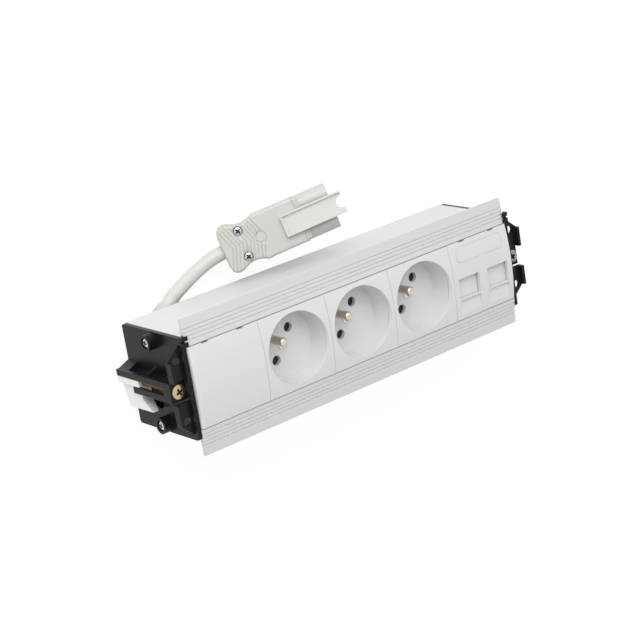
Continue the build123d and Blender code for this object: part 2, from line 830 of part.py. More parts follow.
# Internal wires: each starts at the cord's end, rises through the back and feeds every socket
wire_stub_pitch = 6.0
for index, name in ((-1, "live_wire"), (0, "earth_wire"), (1, "neutral_wire")):
    start = cord_route[0] + cord_start_side * wire_spacing * index
    corner = wire_entry + cord_start_side * wire_spacing * index
    run_end = (module_x[socket_count] + wire_stub_pitch, corner.Y, wire_run_z)
    with BuildPart() as wire:
        with BuildLine():
            FilletPolyline(
                start,
                corner,
                (corner.X, corner.Y, wire_run_z),
                run_end,
                radius=wire_radius + 0.5,
            )
        with BuildSketch(Plane(origin=start, z_dir=-cord_start_dir)):
            Circle(wire_radius)
        sweep()
        for number in range(1, socket_count + 1):
            with BuildSketch(Plane.XY.offset(wire_run_z)):
                with Locations((module_x[number] + index * wire_stub_pitch, corner.Y)):
                    Circle(wire_radius)
            extrude(amount=face_z - base_bottom - wire_run_z)
    save(wire, name)

# Cord: straight runs joined by arcs as large as the runs allow
arc_share = 0.45
radii = []
for before, point, after in zip(cord_route, cord_route[1:], cord_route[2:]):
    turn = (point - before).get_angle(after - point)
    shorter = min((point - before).length, (after - point).length)
    radii.append(arc_share * shorter / tan(radians(turn / 2)))
print("cord radii", [round(radius, 1) for radius in radii])
with BuildPart() as power_cord:
    with BuildLine() as cord_line:
        FilletPolyline(*cord_route, radius=radii)
    with BuildSketch(Plane(origin=cord_route[0], z_dir=cord_route[1] - cord_route[0])):
        Circle(cord_diameter / 2)
    sweep()
cord_length = sum(edge.length for edge in cord_line.edges())
tube_volume = cord_length * pi * (cord_diameter / 2) ** 2
print("cord length", round(cord_length, 1), "volume share", round(power_cord.part.volume / tube_volume, 4))
save(power_cord, "power_cord")

# Connector: the stiff cord holds it just off the floor, with its front end up.
# Its length runs along connector_run and its flat face looks along connector_up.
connector_start = (-40.8, 44.8, 8.7)
connector_run = (0.828037, 0.231346, 0.510719)
connector_up = (-0.5535, 0.1925, 0.8102)
grip_length = 22.1
rear_half = 9.0
rear_round = (1.4, 12.2)
lobe_reach = 4.2
lobe_half = 13.7
lobe_end = (7.2, 13.2)
waist_start = (10.2, 11.7)
waist_reach = 15.9
waist_half = 11.0
grip_end_half = 13.3
insert_length = 25.9
insert_half = 12.9
shell_half_height = 7.5
shell_edge = 3.0
barrel_radius = 5.5
barrel_length = 16.7
barrel_spacing = 14.8
barrel_bore = 3.0
lock_start = 35.5
lock_end = 70.9
lock_width = 12.4
lock_wall = 1.2
lock_height = 3.0
lock_floor = 1.2
fork_radius = 3.4
connector_screw_reach = 11.8
connector_screw_half = 7.5
connector_screw_radius = 2.5
connector_screw_shank = 1.3
screw_recess = 2.4

connector_plane = Plane(origin=connector_start, x_dir=connector_run, z_dir=connector_up)
insert_end = grip_length + insert_length
screw_spots = (
    (connector_screw_reach, connector_screw_half),
    (connector_screw_reach, -connector_screw_half),
)
barrel_spots = ((insert_end, barrel_spacing / 2), (insert_end, -barrel_spacing / 2))
entry_dir = (cord_route[-1] - cord_route[-2]).normalized()
entry_plane = Plane(origin=cord_route[-1], z_dir=-entry_dir)

with BuildPart() as grip:
    with BuildSketch(connector_plane.offset(-shell_half_height)):
        with BuildLine():
            Line((0, 0), (0, rear_half))
            Spline(
                (0, rear_half),
                rear_round,
                (lobe_reach, lobe_half),
                lobe_end,
                waist_start,
                (waist_reach, waist_half),
                (grip_length, grip_end_half),
            )
            Polyline((grip_length, grip_end_half), (grip_length, 0), (0, 0))
        make_face()
        mirror(about=Plane.XZ)
    extrude(amount=2 * shell_half_height)
    through = Axis(connector_start, connector_plane.z_dir)
    for face in (grip.faces().sort_by(through)[0], grip.faces().sort_by(through)[-1]):
        sides = [
            edge
            for edge in face.edges()
            if abs(connector_plane.to_local_coords(edge.center()).Y) > shell_edge
        ]
        fillet(sides, shell_edge)
    with BuildSketch(entry_plane.offset(-0.01)):
        Circle(cord_diameter / 2 + 0.2)
    extrude(amount=20, mode=Mode.SUBTRACT)

for half, name in ((1, "connector_shell_upper"), (-1, "connector_shell_lower")):
    with BuildPart() as shell:
        add(grip.part)
        split(bisect_by=connector_plane, keep=Keep.TOP if half > 0 else Keep.BOTTOM)
        with BuildSketch(connector_plane.offset(half * shell_half_height)):
            with Locations(*screw_spots):
                Circle(connector_screw_radius + 0.2)
        extrude(amount=-half * (screw_recess if half > 0 else 0.6), mode=Mode.SUBTRACT)
        with BuildSketch(connector_plane.offset(-shell_half_height)):
            with Locations(*screw_spots):
                Circle(connector_screw_shank + 0.1)
        extrude(amount=2 * shell_half_height, mode=Mode.SUBTRACT)
    save(shell, name)

with BuildPart() as connector_insert:
    with BuildSketch(connector_plane.offset(-shell_half_height)):
        with Locations((grip_length + insert_length / 2, 0)):
            Rectangle(insert_length, 2 * insert_half)
    extrude(amount=2 * shell_half_height)
    lengthwise = Axis(connector_start, connector_plane.x_dir)
    fillet(connector_insert.edges().filter_by(lengthwise), shell_edge)
    barrel_plane = Plane(
        origin=connector_plane.from_local_coords((insert_end, 0, 0)),
        x_dir=connector_plane.y_dir,
        z_dir=connector_plane.x_dir,
    )
    with BuildSketch(barrel_plane):
        with Locations((barrel_spacing / 2, 0), (-barrel_spacing / 2, 0)):
            Circle(barrel_radius)
    extrude(amount=barrel_length)
    with BuildSketch(barrel_plane.offset(-barrel_length / 2)):
        with Locations((barrel_spacing / 2, 0), (-barrel_spacing / 2, 0)):
            Circle(barrel_bore)
    extrude(amount=1.5 * barrel_length, mode=Mode.SUBTRACT)
save(connector_insert, "connector_insert")

# Locking piece: an open channel on the connector's face, with a forked end
with BuildPart() as connector_lock:
    with BuildSketch(connector_plane.offset(shell_half_height)):
        with Locations(((lock_start + lock_end) / 2, 0)):
            Rectangle(lock_end - lock_start, lock_width)
        with Locations((lock_end - 0.6, 0)):
            Circle(fork_radius, mode=Mode.SUBTRACT)
    extrude(amount=lock_height)
    with BuildSketch(connector_plane.offset(shell_half_height + lock_floor)):
        with Locations(((lock_start + lock_end) / 2 + lock_wall, 0)):
            Rectangle(lock_end - lock_start, lock_width - 2 * lock_wall)
    extrude(amount=lock_height, mode=Mode.SUBTRACT)
save(connector_lock, "connector_lock")

with BuildPart() as connector_screws:
    with BuildSketch(connector_plane.offset(shell_half_height - 2.2)):
        with Locations(*screw_spots):
            Circle(connector_screw_radius)
    extrude(amount=2.0)
    with BuildSketch(connector_plane.offset(-shell_half_height + 1.5)):
        with Locations(*screw_spots):
            Circle(connector_screw_shank)
    extrude(amount=2 * shell_half_height - 3.7)
save(connector_screws, "connector_screws")

contact_tube = 2.9
contact_tube_bore = 2.0
contact_tube_length = 14.0
with BuildPart() as connector_contacts:
    with BuildSketch(barrel_plane):
        with Locations((barrel_spacing / 2, 0), (-barrel_spacing / 2, 0)):
            Circle(contact_tube)
            Circle(contact_tube_bore, mode=Mode.SUBTRACT)
    extrude(amount=contact_tube_length)
save(connector_contacts, "connector_contacts")
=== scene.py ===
import json
from math import cos, pi, radians, sin

import bmesh
import bpy
from mathutils import Matrix, Vector

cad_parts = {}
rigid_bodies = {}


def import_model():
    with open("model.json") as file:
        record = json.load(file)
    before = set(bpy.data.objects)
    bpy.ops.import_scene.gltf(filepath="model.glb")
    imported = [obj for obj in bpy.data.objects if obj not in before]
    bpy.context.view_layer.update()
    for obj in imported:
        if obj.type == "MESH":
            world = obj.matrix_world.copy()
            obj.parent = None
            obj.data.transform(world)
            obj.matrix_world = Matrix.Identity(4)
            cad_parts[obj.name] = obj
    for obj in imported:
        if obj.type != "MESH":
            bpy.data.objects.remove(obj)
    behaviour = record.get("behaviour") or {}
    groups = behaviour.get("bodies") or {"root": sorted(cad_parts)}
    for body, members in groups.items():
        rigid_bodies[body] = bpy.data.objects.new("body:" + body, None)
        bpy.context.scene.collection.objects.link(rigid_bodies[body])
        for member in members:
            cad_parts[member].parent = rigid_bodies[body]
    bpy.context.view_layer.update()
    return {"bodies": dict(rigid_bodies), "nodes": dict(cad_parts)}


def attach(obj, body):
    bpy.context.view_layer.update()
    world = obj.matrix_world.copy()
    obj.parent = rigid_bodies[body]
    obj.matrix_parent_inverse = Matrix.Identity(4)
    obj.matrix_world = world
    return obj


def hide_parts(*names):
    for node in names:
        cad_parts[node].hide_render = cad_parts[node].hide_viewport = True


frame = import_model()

nodes = frame["nodes"]
bpy.ops.object.select_all(action="DESELECT")

# Camera: a long lens, high over the blank end, with the housing running away to the right.
# Its place and direction were solved from the corners of the square module fronts.
camera_data = bpy.data.cameras.new("camera")
camera_data.lens = 111.26
camera_data.sensor_width = 36.0
camera_data.clip_end = 20.0
camera = bpy.data.objects.new("camera", camera_data)
bpy.context.scene.collection.objects.link(camera)
camera.matrix_world = Matrix((
    (0.7667, 0.3080, -0.5633, -0.62109),
    (-0.1571, 0.9407, 0.3005, 0.32645),
    (0.6225, -0.1419, 0.7697, 0.87939),
    (0, 0, 0, 1),
))
bpy.context.scene.camera = camera

# Floor: a plain white table under the rear cover. Camera, mirror and glass rays see it as paper
# white, with only a trace of the soft shadow that the module throws on it.
floor_size = 8.0
floor_level = -0.0002
bpy.ops.mesh.primitive_grid_add(
    x_subdivisions=2, y_subdivisions=2, size=floor_size, location=(0, 0, floor_level)
)
floor = bpy.context.active_object
floor.name = "floor"


def direct_rays(tree):
    """A factor of 1 for camera, mirror and glass rays, and of 0 for light between the pieces."""
    ray = tree.nodes.new("ShaderNodeLightPath")
    seen = tree.nodes.new("ShaderNodeMath")
    seen.operation = "MAXIMUM"
    seen_through = tree.nodes.new("ShaderNodeMath")
    seen_through.operation = "MAXIMUM"
    tree.links.new(ray.outputs["Is Camera Ray"], seen.inputs[0])
    tree.links.new(ray.outputs["Is Glossy Ray"], seen.inputs[1])
    tree.links.new(seen.outputs[0], seen_through.inputs[0])
    tree.links.new(ray.outputs["Is Transmission Ray"], seen_through.inputs[1])
    return seen_through.outputs[0]


floor_paint = bpy.data.materials.new("floor_paint")
floor_paint.use_nodes = True
tree = floor_paint.node_tree
tree.nodes.clear()
matt = tree.nodes.new("ShaderNodeBsdfDiffuse")
matt.inputs["Color"].default_value = (0.92, 0.92, 0.92, 1)
trace = tree.nodes.new("ShaderNodeBsdfDiffuse")
trace.inputs["Color"].default_value = (0.12, 0.12, 0.12, 1)
glow = tree.nodes.new("ShaderNodeEmission")
glow.inputs["Strength"].default_value = 0.92
paper = tree.nodes.new("ShaderNodeAddShader")
pick = tree.nodes.new("ShaderNodeMixShader")
output = tree.nodes.new("ShaderNodeOutputMaterial")
tree.links.new(trace.outputs[0], paper.inputs[0])
tree.links.new(glow.outputs[0], paper.inputs[1])
tree.links.new(direct_rays(tree), pick.inputs["Fac"])
tree.links.new(matt.outputs[0], pick.inputs[1])
tree.links.new(paper.outputs[0], pick.inputs[2])
tree.links.new(pick.outputs[0], output.inputs["Surface"])
floor.data.materials.append(floor_paint)

# Light: an even white room, one soft lamp high on the cord's side of the housing, and a very wide
# one low on the same side, which makes the long wall there the brightest face.
world = bpy.data.worlds.new("room")
bpy.context.scene.world = world
world.use_nodes = True
tree = world.node_tree
tree.nodes.clear()
room = tree.nodes.new("ShaderNodeBackground")
room.inputs["Color"].default_value = (1, 1, 1, 1)
room.inputs["Strength"].default_value = 0.64
backdrop = tree.nodes.new("ShaderNodeBackground")
backdrop.inputs["Color"].default_value = (1, 1, 1, 1)
pick = tree.nodes.new("ShaderNodeMixShader")
output = tree.nodes.new("ShaderNodeOutputWorld")
tree.links.new(direct_rays(tree), pick.inputs["Fac"])
tree.links.new(room.outputs[0], pick.inputs[1])
tree.links.new(backdrop.outputs[0], pick.inputs[2])
tree.links.new(pick.outputs[0], output.inputs["Surface"])

lamp_aim = Vector((0, 0, 0.04))
for lamp_name, place, size, power in (
    ("lamp_high", (-0.56, 1.09, 1.03), 1.0, 12.0),
    ("lamp_low", (-0.90, 1.90, 1.00), 2.6, 13.5),
):
    lamp_data = bpy.data.lights.new(lamp_name, "AREA")
    lamp_data.size = size
    lamp_data.energy = power
    lamp = bpy.data.objects.new(lamp_name, lamp_data)
    bpy.context.scene.collection.objects.link(lamp)
    lamp.location = place
    lamp.rotation_euler = (lamp_aim - Vector(place)).to_track_quat("-Z", "Y").to_euler()
bpy.context.scene.view_settings.view_transform = "Standard"

# Cord: a short stiff three-core cord in a smooth cream-white jacket. It leaves the rear cover
# through the strain relief, bends round the housing's foot and rises into the connector.
cord_route = (
    (-0.0979, 0.0133, 0.0070),
    (-0.0924, 0.01765, 0.00695),
    (-0.0830, 0.0247, 0.0063),
    (-0.0754, 0.0297, 0.0047),
    (-0.0654, 0.0344, 0.00405),
    (-0.0546, 0.0392, 0.00405),
    (-0.04362, 0.04401, 0.00696),
    (-0.03393, 0.04672, 0.01294),
)
cord_curve = bpy.data.curves.new("cord_jacket", "CURVE")
cord_curve.dimensions = "3D"
cord_curve.bevel_depth = 0.004
cord_curve.bevel_resolution = 8
cord_curve.use_fill_caps = True
cord_line = cord_curve.splines.new("NURBS")
cord_line.points.add(len(cord_route) - 1)
for point, place in zip(cord_line.points, cord_route):
    point.co = (*place, 1)
cord_line.order_u = 3
cord_line.use_endpoint_u = True
cord_line.resolution_u = 24
cord_jacket = bpy.data.objects.new("cord_jacket", cord_curve)
bpy.context.scene.collection.objects.link(cord_jacket)


def plastic(name, colour, roughness, grain=1400.0, depth=0.00002, other=None, patch=14.0,
            edge=0.00018, shine=0.5):
    """A moulded or coated finish: fine grain, a faint drift in colour and gloss, softened edges."""
    material = bpy.data.materials.new(name)
    material.use_nodes = True
    tree = material.node_tree
    shader = tree.nodes["Principled BSDF"]
    place = tree.nodes.new("ShaderNodeTexCoord")
    fine = tree.nodes.new("ShaderNodeTexNoise")
    fine.inputs["Scale"].default_value = grain
    fine.inputs["Detail"].default_value = 3.0
    soft_edge = tree.nodes.new("ShaderNodeBevel")
    soft_edge.samples = 4
    soft_edge.inputs["Radius"].default_value = edge
    bump = tree.nodes.new("ShaderNodeBump")
    bump.inputs["Strength"].default_value = 0.35
    bump.inputs["Distance"].default_value = depth
    drift = tree.nodes.new("ShaderNodeTexNoise")
    drift.inputs["Scale"].default_value = patch
    shade = tree.nodes.new("ShaderNodeMix")
    shade.data_type = "RGBA"
    darker = tuple(channel * 0.97 for channel in colour)
    shade.inputs[6].default_value = (*(other or darker), 1)
    shade.inputs[7].default_value = (*colour, 1)
    gloss = tree.nodes.new("ShaderNodeMapRange")
    gloss.inputs["To Min"].default_value = roughness * 0.88
    gloss.inputs["To Max"].default_value = min(1.0, roughness * 1.14)
    shader.inputs["Specular IOR Level"].default_value = shine
    tree.links.new(place.outputs["Object"], fine.inputs["Vector"])
    tree.links.new(place.outputs["Object"], drift.inputs["Vector"])
    tree.links.new(soft_edge.outputs["Normal"], bump.inputs["Normal"])
    tree.links.new(fine.outputs["Fac"], bump.inputs["Height"])
    tree.links.new(drift.outputs["Fac"], shade.inputs[0])
    tree.links.new(drift.outputs["Fac"], gloss.inputs["Value"])
    tree.links.new(shade.outputs[2], shader.inputs["Base Color"])
    tree.links.new(gloss.outputs["Result"], shader.inputs["Roughness"])
    tree.links.new(bump.outputs["Normal"], shader.inputs["Normal"])
    return material


cord_jacket.data.materials.append(plastic("cord_pvc", (0.60, 0.593, 0.56), 0.42, grain=600.0))
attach(cord_jacket, "housing")
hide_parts("power_cord")

# Connector housing: two cream-white mouldings, screwed together, with a lobed and waisted grip, a
# flat body and two barrels. V-shaped grip lines run across the face, up to a round spot.
connector_run = Vector((0.828037, 0.231346, 0.510719)).normalized()
connector_up = Vector((-0.5535, 0.1925, 0.8102))
connector_up = (connector_up - connector_up.dot(connector_run) * connector_run).normalized()
connector_across = connector_up.cross(connector_run)
connector_place = Matrix.Translation((-0.0408, 0.0448, 0.0087)) @ Matrix(
    (connector_run, connector_across, connector_up)
).transposed().to_4x4()
shell_half_height = 0.0075
body_half = 0.0129
body_end = 0.0462
lip_length = 0.0018
lip_step = 0.0009
lip_groove = (body_end - 0.0014, body_end - 0.0009)
lip_groove_depth = 0.0005
grip_outline = (
    (0.0000, 0.0090), (0.0004, 0.0105), (0.0009, 0.0116), (0.0016, 0.0125), (0.0024, 0.01315),
    (0.0033, 0.01355), (0.0043, 0.0137), (0.0053, 0.01365), (0.0063, 0.01345), (0.0073, 0.0131),
    (0.0086, 0.0125), (0.0100, 0.0118), (0.0115, 0.01135), (0.0130, 0.0111), (0.0145, 0.0110),
    (0.0160, 0.01105), (0.0175, 0.01135), (0.0190, 0.01185), (0.0205, 0.0125), (0.0221, 0.0133),
    (0.0234, 0.0132), (0.0248, 0.0129),
)
shell_edge = 0.0017
face_tilt = 0.25
line_count = 10
line_first = 0.0055
line_pitch = 0.00211
line_slope = radians(20)
line_width = 0.0005
line_depth = 0.00028
lines_stop = body_end - 0.001
spot_reach = 0.0223
spot_radius = 0.0028
spot_gap = 0.0002
spot_pocket = 0.0006
spot_rooted = 0.0002
spot_height = 0.0007
spot_rim = 0.0004
spot_dish = 0.0001
screw_reach = 0.0118
screw_half = 0.0075
screw_pocket_radius = 0.0027
screw_pocket = 0.0024
cord_hole_radius = 0.0042
cord_hole_start = -0.004
cord_hole_end = 0.007
barrel_half = 0.0074
barrel_radius = 0.0055
barrel_end = 0.0647
barrel_bore = 0.0030
barrel_bore_depth = 0.015
clear = 0.002
near = 0.00001
same_place = 0.000002


def take_up(*pieces):
    """Leaves edit mode and selects these pieces only, with the last one active."""
    if bpy.context.mode != "OBJECT":
        bpy.ops.object.mode_set(mode="OBJECT")
    bpy.ops.object.select_all(action="DESELECT")
    for piece in pieces:
        piece.select_set(True)
        bpy.context.view_layer.objects.active = piece


def block(name, low, high):
    """Adds a block between two corners and opens it in edit mode."""
    take_up()
    middle = [(a + b) / 2 for a, b in zip(low, high)]
    size = [b - a for a, b in zip(low, high)]
    bpy.ops.mesh.primitive_cube_add(size=1, location=middle, scale=size)
    bpy.ops.object.transform_apply(location=True, rotation=True, scale=True)
    bpy.context.active_object.name = name
    bpy.ops.object.mode_set(mode="EDIT")
    return bpy.context.active_object


def rod(name, radius, start, length, lean=0.0, sides=40):
    """Adds a round rod that runs from a place along +Z, or leans from there towards +X, and opens
    it in edit mode."""
    take_up()
    bpy.ops.mesh.primitive_cylinder_add(vertices=sides, radius=radius, depth=length)
    piece = bpy.context.active_object
    piece.name = name
    turned = Matrix.Rotation(lean, 4, "Y")
    piece.matrix_world = Matrix.Translation(start) @ turned @ Matrix.Translation((0, 0, length / 2))
    bpy.ops.object.transform_apply(location=True, rotation=True, scale=True)
    bpy.ops.object.mode_set(mode="EDIT")
    return piece


def choose(kind, test):
    """In edit mode, selects only the faces, edges or corners whose place passes a test."""
    bpy.ops.mesh.select_mode(type=kind)
    bpy.ops.mesh.select_all(action="DESELECT")
    shape = bpy.context.edit_object.data
    mesh = bmesh.from_edit_mesh(shape)
    for item in {"FACE": mesh.faces, "EDGE": mesh.edges, "VERT": mesh.verts}[kind]:
        if kind == "FACE":
            fits = test(item.calc_center_median(), item.normal)
        elif kind == "EDGE":
            fits = test(item.verts[0].co, item.verts[1].co)
        else:
            fits = test(item.co)
        if fits:
            item.select_set(True)
    bmesh.update_edit_mesh(shape)


def looks_up(middle, normal):
    """True of a face that lies flat and looks up."""
    return normal.z > 0.9


def looks_down(middle, normal):
    """True of a face that lies flat and looks down."""
    return normal.z < -0.9


def close(piece, edge=0.0, place=None, smooth=35):
    """Ends the work in edit mode: outward faces, rounded edges, smooth shading, its final place."""
    bpy.ops.mesh.select_all(action="SELECT")
    bpy.ops.mesh.remove_doubles(threshold=same_place)
    bpy.ops.mesh.normals_make_consistent(inside=False)
    take_up(piece)
    if edge:
        rounding = piece.modifiers.new("rounded_edges", "BEVEL")
        rounding.width = edge
        rounding.segments = 2
        rounding.limit_method = "ANGLE"
        rounding.angle_limit = radians(40)
        bpy.ops.object.modifier_apply(modifier=rounding.name)
    if place is not None:
        piece.matrix_world = place
        bpy.ops.object.transform_apply(location=True, rotation=True, scale=True)
    bpy.ops.object.shade_smooth_by_angle(angle=radians(smooth))
    flats = piece.modifiers.new("even_flats", "WEIGHTED_NORMAL")
    flats.keep_sharp = True
    bpy.ops.object.modifier_apply(modifier=flats.name)


def cut(piece, cutter):
    """Takes the cutter's shape out of a piece and throws the cutter away."""
    take_up(piece)
    taking = piece.modifiers.new("taking", "BOOLEAN")
    taking.operation = "DIFFERENCE"
    taking.solver = "EXACT"
    taking.object = cutter
    bpy.ops.object.modifier_apply(modifier=taking.name)
    bpy.data.objects.remove(cutter)


def join(piece, others):
    """Joins other pieces into one."""
    take_up(*others, piece)
    bpy.ops.object.join()


connector_housing = block(
    "connector_housing", (0, 0, -shell_half_height), (body_end, body_half, shell_half_height)
)
for reach, _ in grip_outline[1:]:
    bpy.ops.mesh.select_all(action="SELECT")
    bpy.ops.mesh.bisect(plane_co=(reach, 0, 0), plane_no=(1, 0, 0))
choose("EDGE", lambda a, b: abs(a.z - b.z) < near and min(a.y, b.y) > body_half - near)
bpy.ops.mesh.bevel(offset=shell_edge, segments=5, affect="EDGES")
for reach, half in grip_outline:
    choose("VERT", lambda corner: (
        abs(corner.x - reach) < near and corner.y > body_half - shell_edge - near
    ))
    bpy.ops.transform.translate(value=(0, half - body_half, 0))
    if reach < shell_edge:
        drop = shell_edge - (shell_edge ** 2 - (shell_edge - reach) ** 2) ** 0.5
        choose("VERT", lambda corner: abs(corner.x - reach) < near)
        bpy.ops.transform.resize(
            value=(1, 1, 1 - drop / shell_half_height), center_override=(reach, 0, 0)
        )
choose("FACE", lambda middle, normal: abs(middle.y) < near)
bpy.ops.mesh.delete(type="FACE")
choose("FACE", lambda middle, normal: normal.x > 0.99 and middle.x > body_end - near)
bpy.ops.mesh.inset(thickness=lip_step, use_boundary=False)
bpy.ops.mesh.extrude_region_move(TRANSFORM_OT_translate={"value": (lip_length, 0, 0)})

# A fine groove runs across the face just behind the lip, and ten V-shaped ones across the grip.
for groove_side in lip_groove:
    choose("FACE", lambda middle, normal: normal.z > face_tilt)
    bpy.ops.mesh.bisect(plane_co=(groove_side, 0, 0), plane_no=(1, 0, 0))
choose("FACE", lambda middle, normal: (
    normal.z > face_tilt and lip_groove[0] < middle.x < lip_groove[1]
))
bpy.ops.mesh.extrude_region_move(TRANSFORM_OT_translate={"value": (0, 0, -lip_groove_depth)})
line_normal = Vector((cos(line_slope), sin(line_slope), 0))
line_apexes = [line_first + i * line_pitch for i in range(line_count)]
for apex in line_apexes:
    for side in (-1, 1):
        choose("FACE", lambda middle, normal: normal.z > face_tilt and middle.x < lines_stop)
        bpy.ops.mesh.bisect(
            plane_co=(apex + side * line_width / 2 / cos(line_slope), 0, 0), plane_no=line_normal
        )
choose("FACE", lambda middle, normal: normal.z > face_tilt and any(
    abs((middle - Vector((apex, 0, 0))).dot(line_normal)) < line_width * 0.49
    for apex in line_apexes
))
bpy.ops.mesh.extrude_region_move(TRANSFORM_OT_translate={"value": (0, 0, -line_depth)})
choose("FACE", lambda middle, normal: abs(middle.y) < near and abs(normal.y) > 0.9)
bpy.ops.mesh.delete(type="FACE")
bpy.ops.object.mode_set(mode="OBJECT")
other_half = connector_housing.modifiers.new("other_half", "MIRROR")
other_half.use_axis = (False, True, False)
other_half.merge_threshold = 0.000003
bpy.ops.object.modifier_apply(modifier=other_half.name)
bpy.ops.object.mode_set(mode="EDIT")
close(connector_housing)

# The pockets of the spot and of the two screws, the cord's hole, and the two barrels.
cut(connector_housing, rod(
    "cutter", spot_radius + spot_gap, (spot_reach, 0, shell_half_height - spot_pocket), clear
))
for side in (-1, 1):
    cut(connector_housing, rod(
        "cutter", screw_pocket_radius,
        (screw_reach, side * screw_half, shell_half_height - screw_pocket), 2 * clear,
    ))
cut(connector_housing, rod(
    "cutter", cord_hole_radius, (cord_hole_start, 0, 0), cord_hole_end - cord_hole_start,
    lean=pi / 2,
))
spot_foot = shell_half_height - spot_pocket - spot_rooted
spot = rod("spot", spot_radius, (spot_reach, 0, spot_foot), spot_height)
choose("FACE", looks_up)
bpy.ops.mesh.inset(thickness=spot_rim)
bpy.ops.transform.translate(value=(0, 0, -spot_dish))
close(spot)
barrels = []
for side in (-1, 1):
    barrel = rod(
        "barrel", barrel_radius, (body_end, side * barrel_half, 0), barrel_end - body_end,
        lean=pi / 2, sides=48,
    )
    choose("FACE", lambda middle, normal: normal.x > 0.9)
    bpy.ops.mesh.inset(thickness=barrel_radius - barrel_bore)
    bpy.ops.mesh.extrude_region_move(TRANSFORM_OT_translate={"value": (-barrel_bore_depth, 0, 0)})
    close(barrel, edge=0.0003)
    barrels.append(barrel)
join(connector_housing, [spot, *barrels])
bpy.ops.object.mode_set(mode="EDIT")
close(connector_housing, place=connector_place)
connector_cream = plastic("connector_cream", (0.55, 0.545, 0.515), 0.36, grain=900.0)
connector_housing.data.materials.append(connector_cream)
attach(connector_housing, "housing")
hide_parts("connector_shell_upper", "connector_shell_lower", "connector_insert")

# Connector lock: a stiff open channel of the same plastic on the connector's face, closed at the
# back, whose front end is forked round the catch of the mating part.
lock_start = 0.0355
lock_end = 0.0709
lock_half = 0.0062
lock_wall = 0.0010
lock_floor = 0.0016
lock_height = 0.0030
lock_rooted = 0.0001
fork_radius = 0.0034
fork_reach = lock_end - 0.0006
lock_channel = block(
    "lock_channel",
    (lock_start, -lock_half, shell_half_height - lock_rooted),
    (lock_end, lock_half, shell_half_height + lock_height),
)
cut(lock_channel, block(
    "cutter",
    (lock_start + lock_wall, -lock_half + lock_wall, shell_half_height + lock_floor),
    (lock_end + clear, lock_half - lock_wall, shell_half_height + 3 * clear),
))
cut(lock_channel, rod(
    "cutter", fork_radius, (fork_reach, 0, shell_half_height - clear), 4 * clear
))
bpy.ops.object.mode_set(mode="EDIT")
close(lock_channel, edge=0.00025, place=connector_place)
# The lock's cream is the connector's plastic painted lighter: painted light that offsets the shade
# its walls throw on its floor.
lock_channel.data.materials.append(plastic("lock_cream_painted_lit", (0.64, 0.635, 0.61), 0.36, grain=900.0))
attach(lock_channel, "housing")
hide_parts("connector_lock")

# Connector screws: two bright-plated steel screws with domed cross-slotted heads, sunk in the
# round pockets of the grip. They hold the two mouldings together.


def metal(name, colour, roughness, other=None, patch=400.0):
    """A plated or turned metal finish with fine marks and a faint drift in its colour."""
    material = plastic(
        name, colour, roughness, grain=3000.0, depth=0.00001, other=other, patch=patch, edge=0.0001
    )
    material.node_tree.nodes["Principled BSDF"].inputs["Metallic"].default_value = 1.0
    return material


bright_plating = metal("bright_plating", (0.66, 0.67, 0.68), 0.26, other=(0.52, 0.53, 0.55))
# Near-black metal painted into the screws' cross recesses: painted shade in the slots, on the same
# steel as the head.
slot_painted_shade = metal("slot_painted_shade", (0.055, 0.055, 0.06), 0.5, other=(0.03, 0.03, 0.03))


def cross_screw(name, radius, height, cross, shank_radius, shank_length, dome, turned):
    """A screw with a domed cross-slotted head, seated at the origin with its shank running down.
    The cross is given as length, width and depth, and turned by an angle in degrees."""
    screw = rod(name, radius, (0, 0, 0), height - dome)
    choose("FACE", looks_up)
    for step, rise in ((radius * 0.22, dome * 0.6), (radius * 0.3, dome * 0.4)):
        bpy.ops.mesh.inset(thickness=step)
        bpy.ops.transform.translate(value=(0, 0, rise))
    choose("FACE", looks_down)
    bpy.ops.mesh.inset(thickness=radius - shank_radius)
    bpy.ops.mesh.extrude_region_move(TRANSFORM_OT_translate={"value": (0, 0, -shank_length)})
    point = shank_radius * 0.35
    bpy.ops.mesh.inset(thickness=point)
    bpy.ops.transform.translate(value=(0, 0, -point))
    length, width, depth = cross
    for turn in (0, pi / 2):
        cutter = block(
            "cutter",
            (-length / 2, -width / 2, height - depth),
            (length / 2, width / 2, height + depth),
        )
        choose("FACE", looks_down)
        bpy.ops.transform.resize(value=(0.6, 0.8, 1), center_override=(0, 0, height - depth))
        bpy.ops.mesh.select_all(action="SELECT")
        bpy.ops.transform.rotate(
            value=turn + radians(turned), orient_axis="Z", center_override=(0, 0, 0)
        )
        cut(screw, cutter)
    bpy.ops.object.mode_set(mode="EDIT")
    screw.data.materials.append(bright_plating)
    screw.data.materials.append(slot_painted_shade)
    # The cross recess's walls and floor take the second finish: painted shade in the recess.
    choose("FACE", lambda middle, normal: (
        Vector(middle[:2]).length < length * 0.55 and 0 < middle.z < height - near
        and (abs(normal.z) < 0.7 or middle.z < height - depth + 2 * near)
    ))
    screw.active_material_index = 1
    bpy.ops.object.material_slot_assign()
    return screw


def copy_to(piece, name, place):
    """A copy of a piece with a mesh of its own, moved to its place."""
    twin = bpy.data.objects.new(name, piece.data.copy())
    twin.data.transform(place)
    bpy.context.scene.collection.objects.link(twin)
    return twin


grip_screw = cross_screw(
    "grip_screw", radius=0.0025, height=0.0019, cross=(0.0040, 0.0011, 0.0012),
    shank_radius=0.0013, shank_length=0.0105, dome=0.0005, turned=60,
)
close(grip_screw)
for side, name in ((1, "grip_screw_outer"), (-1, "grip_screw_inner")):
    twin = copy_to(grip_screw, name, connector_place @ Matrix.Translation(
        (screw_reach, side * screw_half, shell_half_height - screw_pocket)
    ))
    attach(twin, "housing")
    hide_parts("connector_screws")
bpy.data.objects.remove(grip_screw)

# Contact tubes in the connector's barrels, pressed from brass strip.
strip_brass = metal("strip_brass", (0.66, 0.5, 0.26), 0.3)


def finish_node(name, material):
    """Puts a finish on a node that keeps its own shape."""
    nodes[name].data.materials.clear()
    nodes[name].data.materials.append(material)


finish_node("connector_contacts", strip_brass)

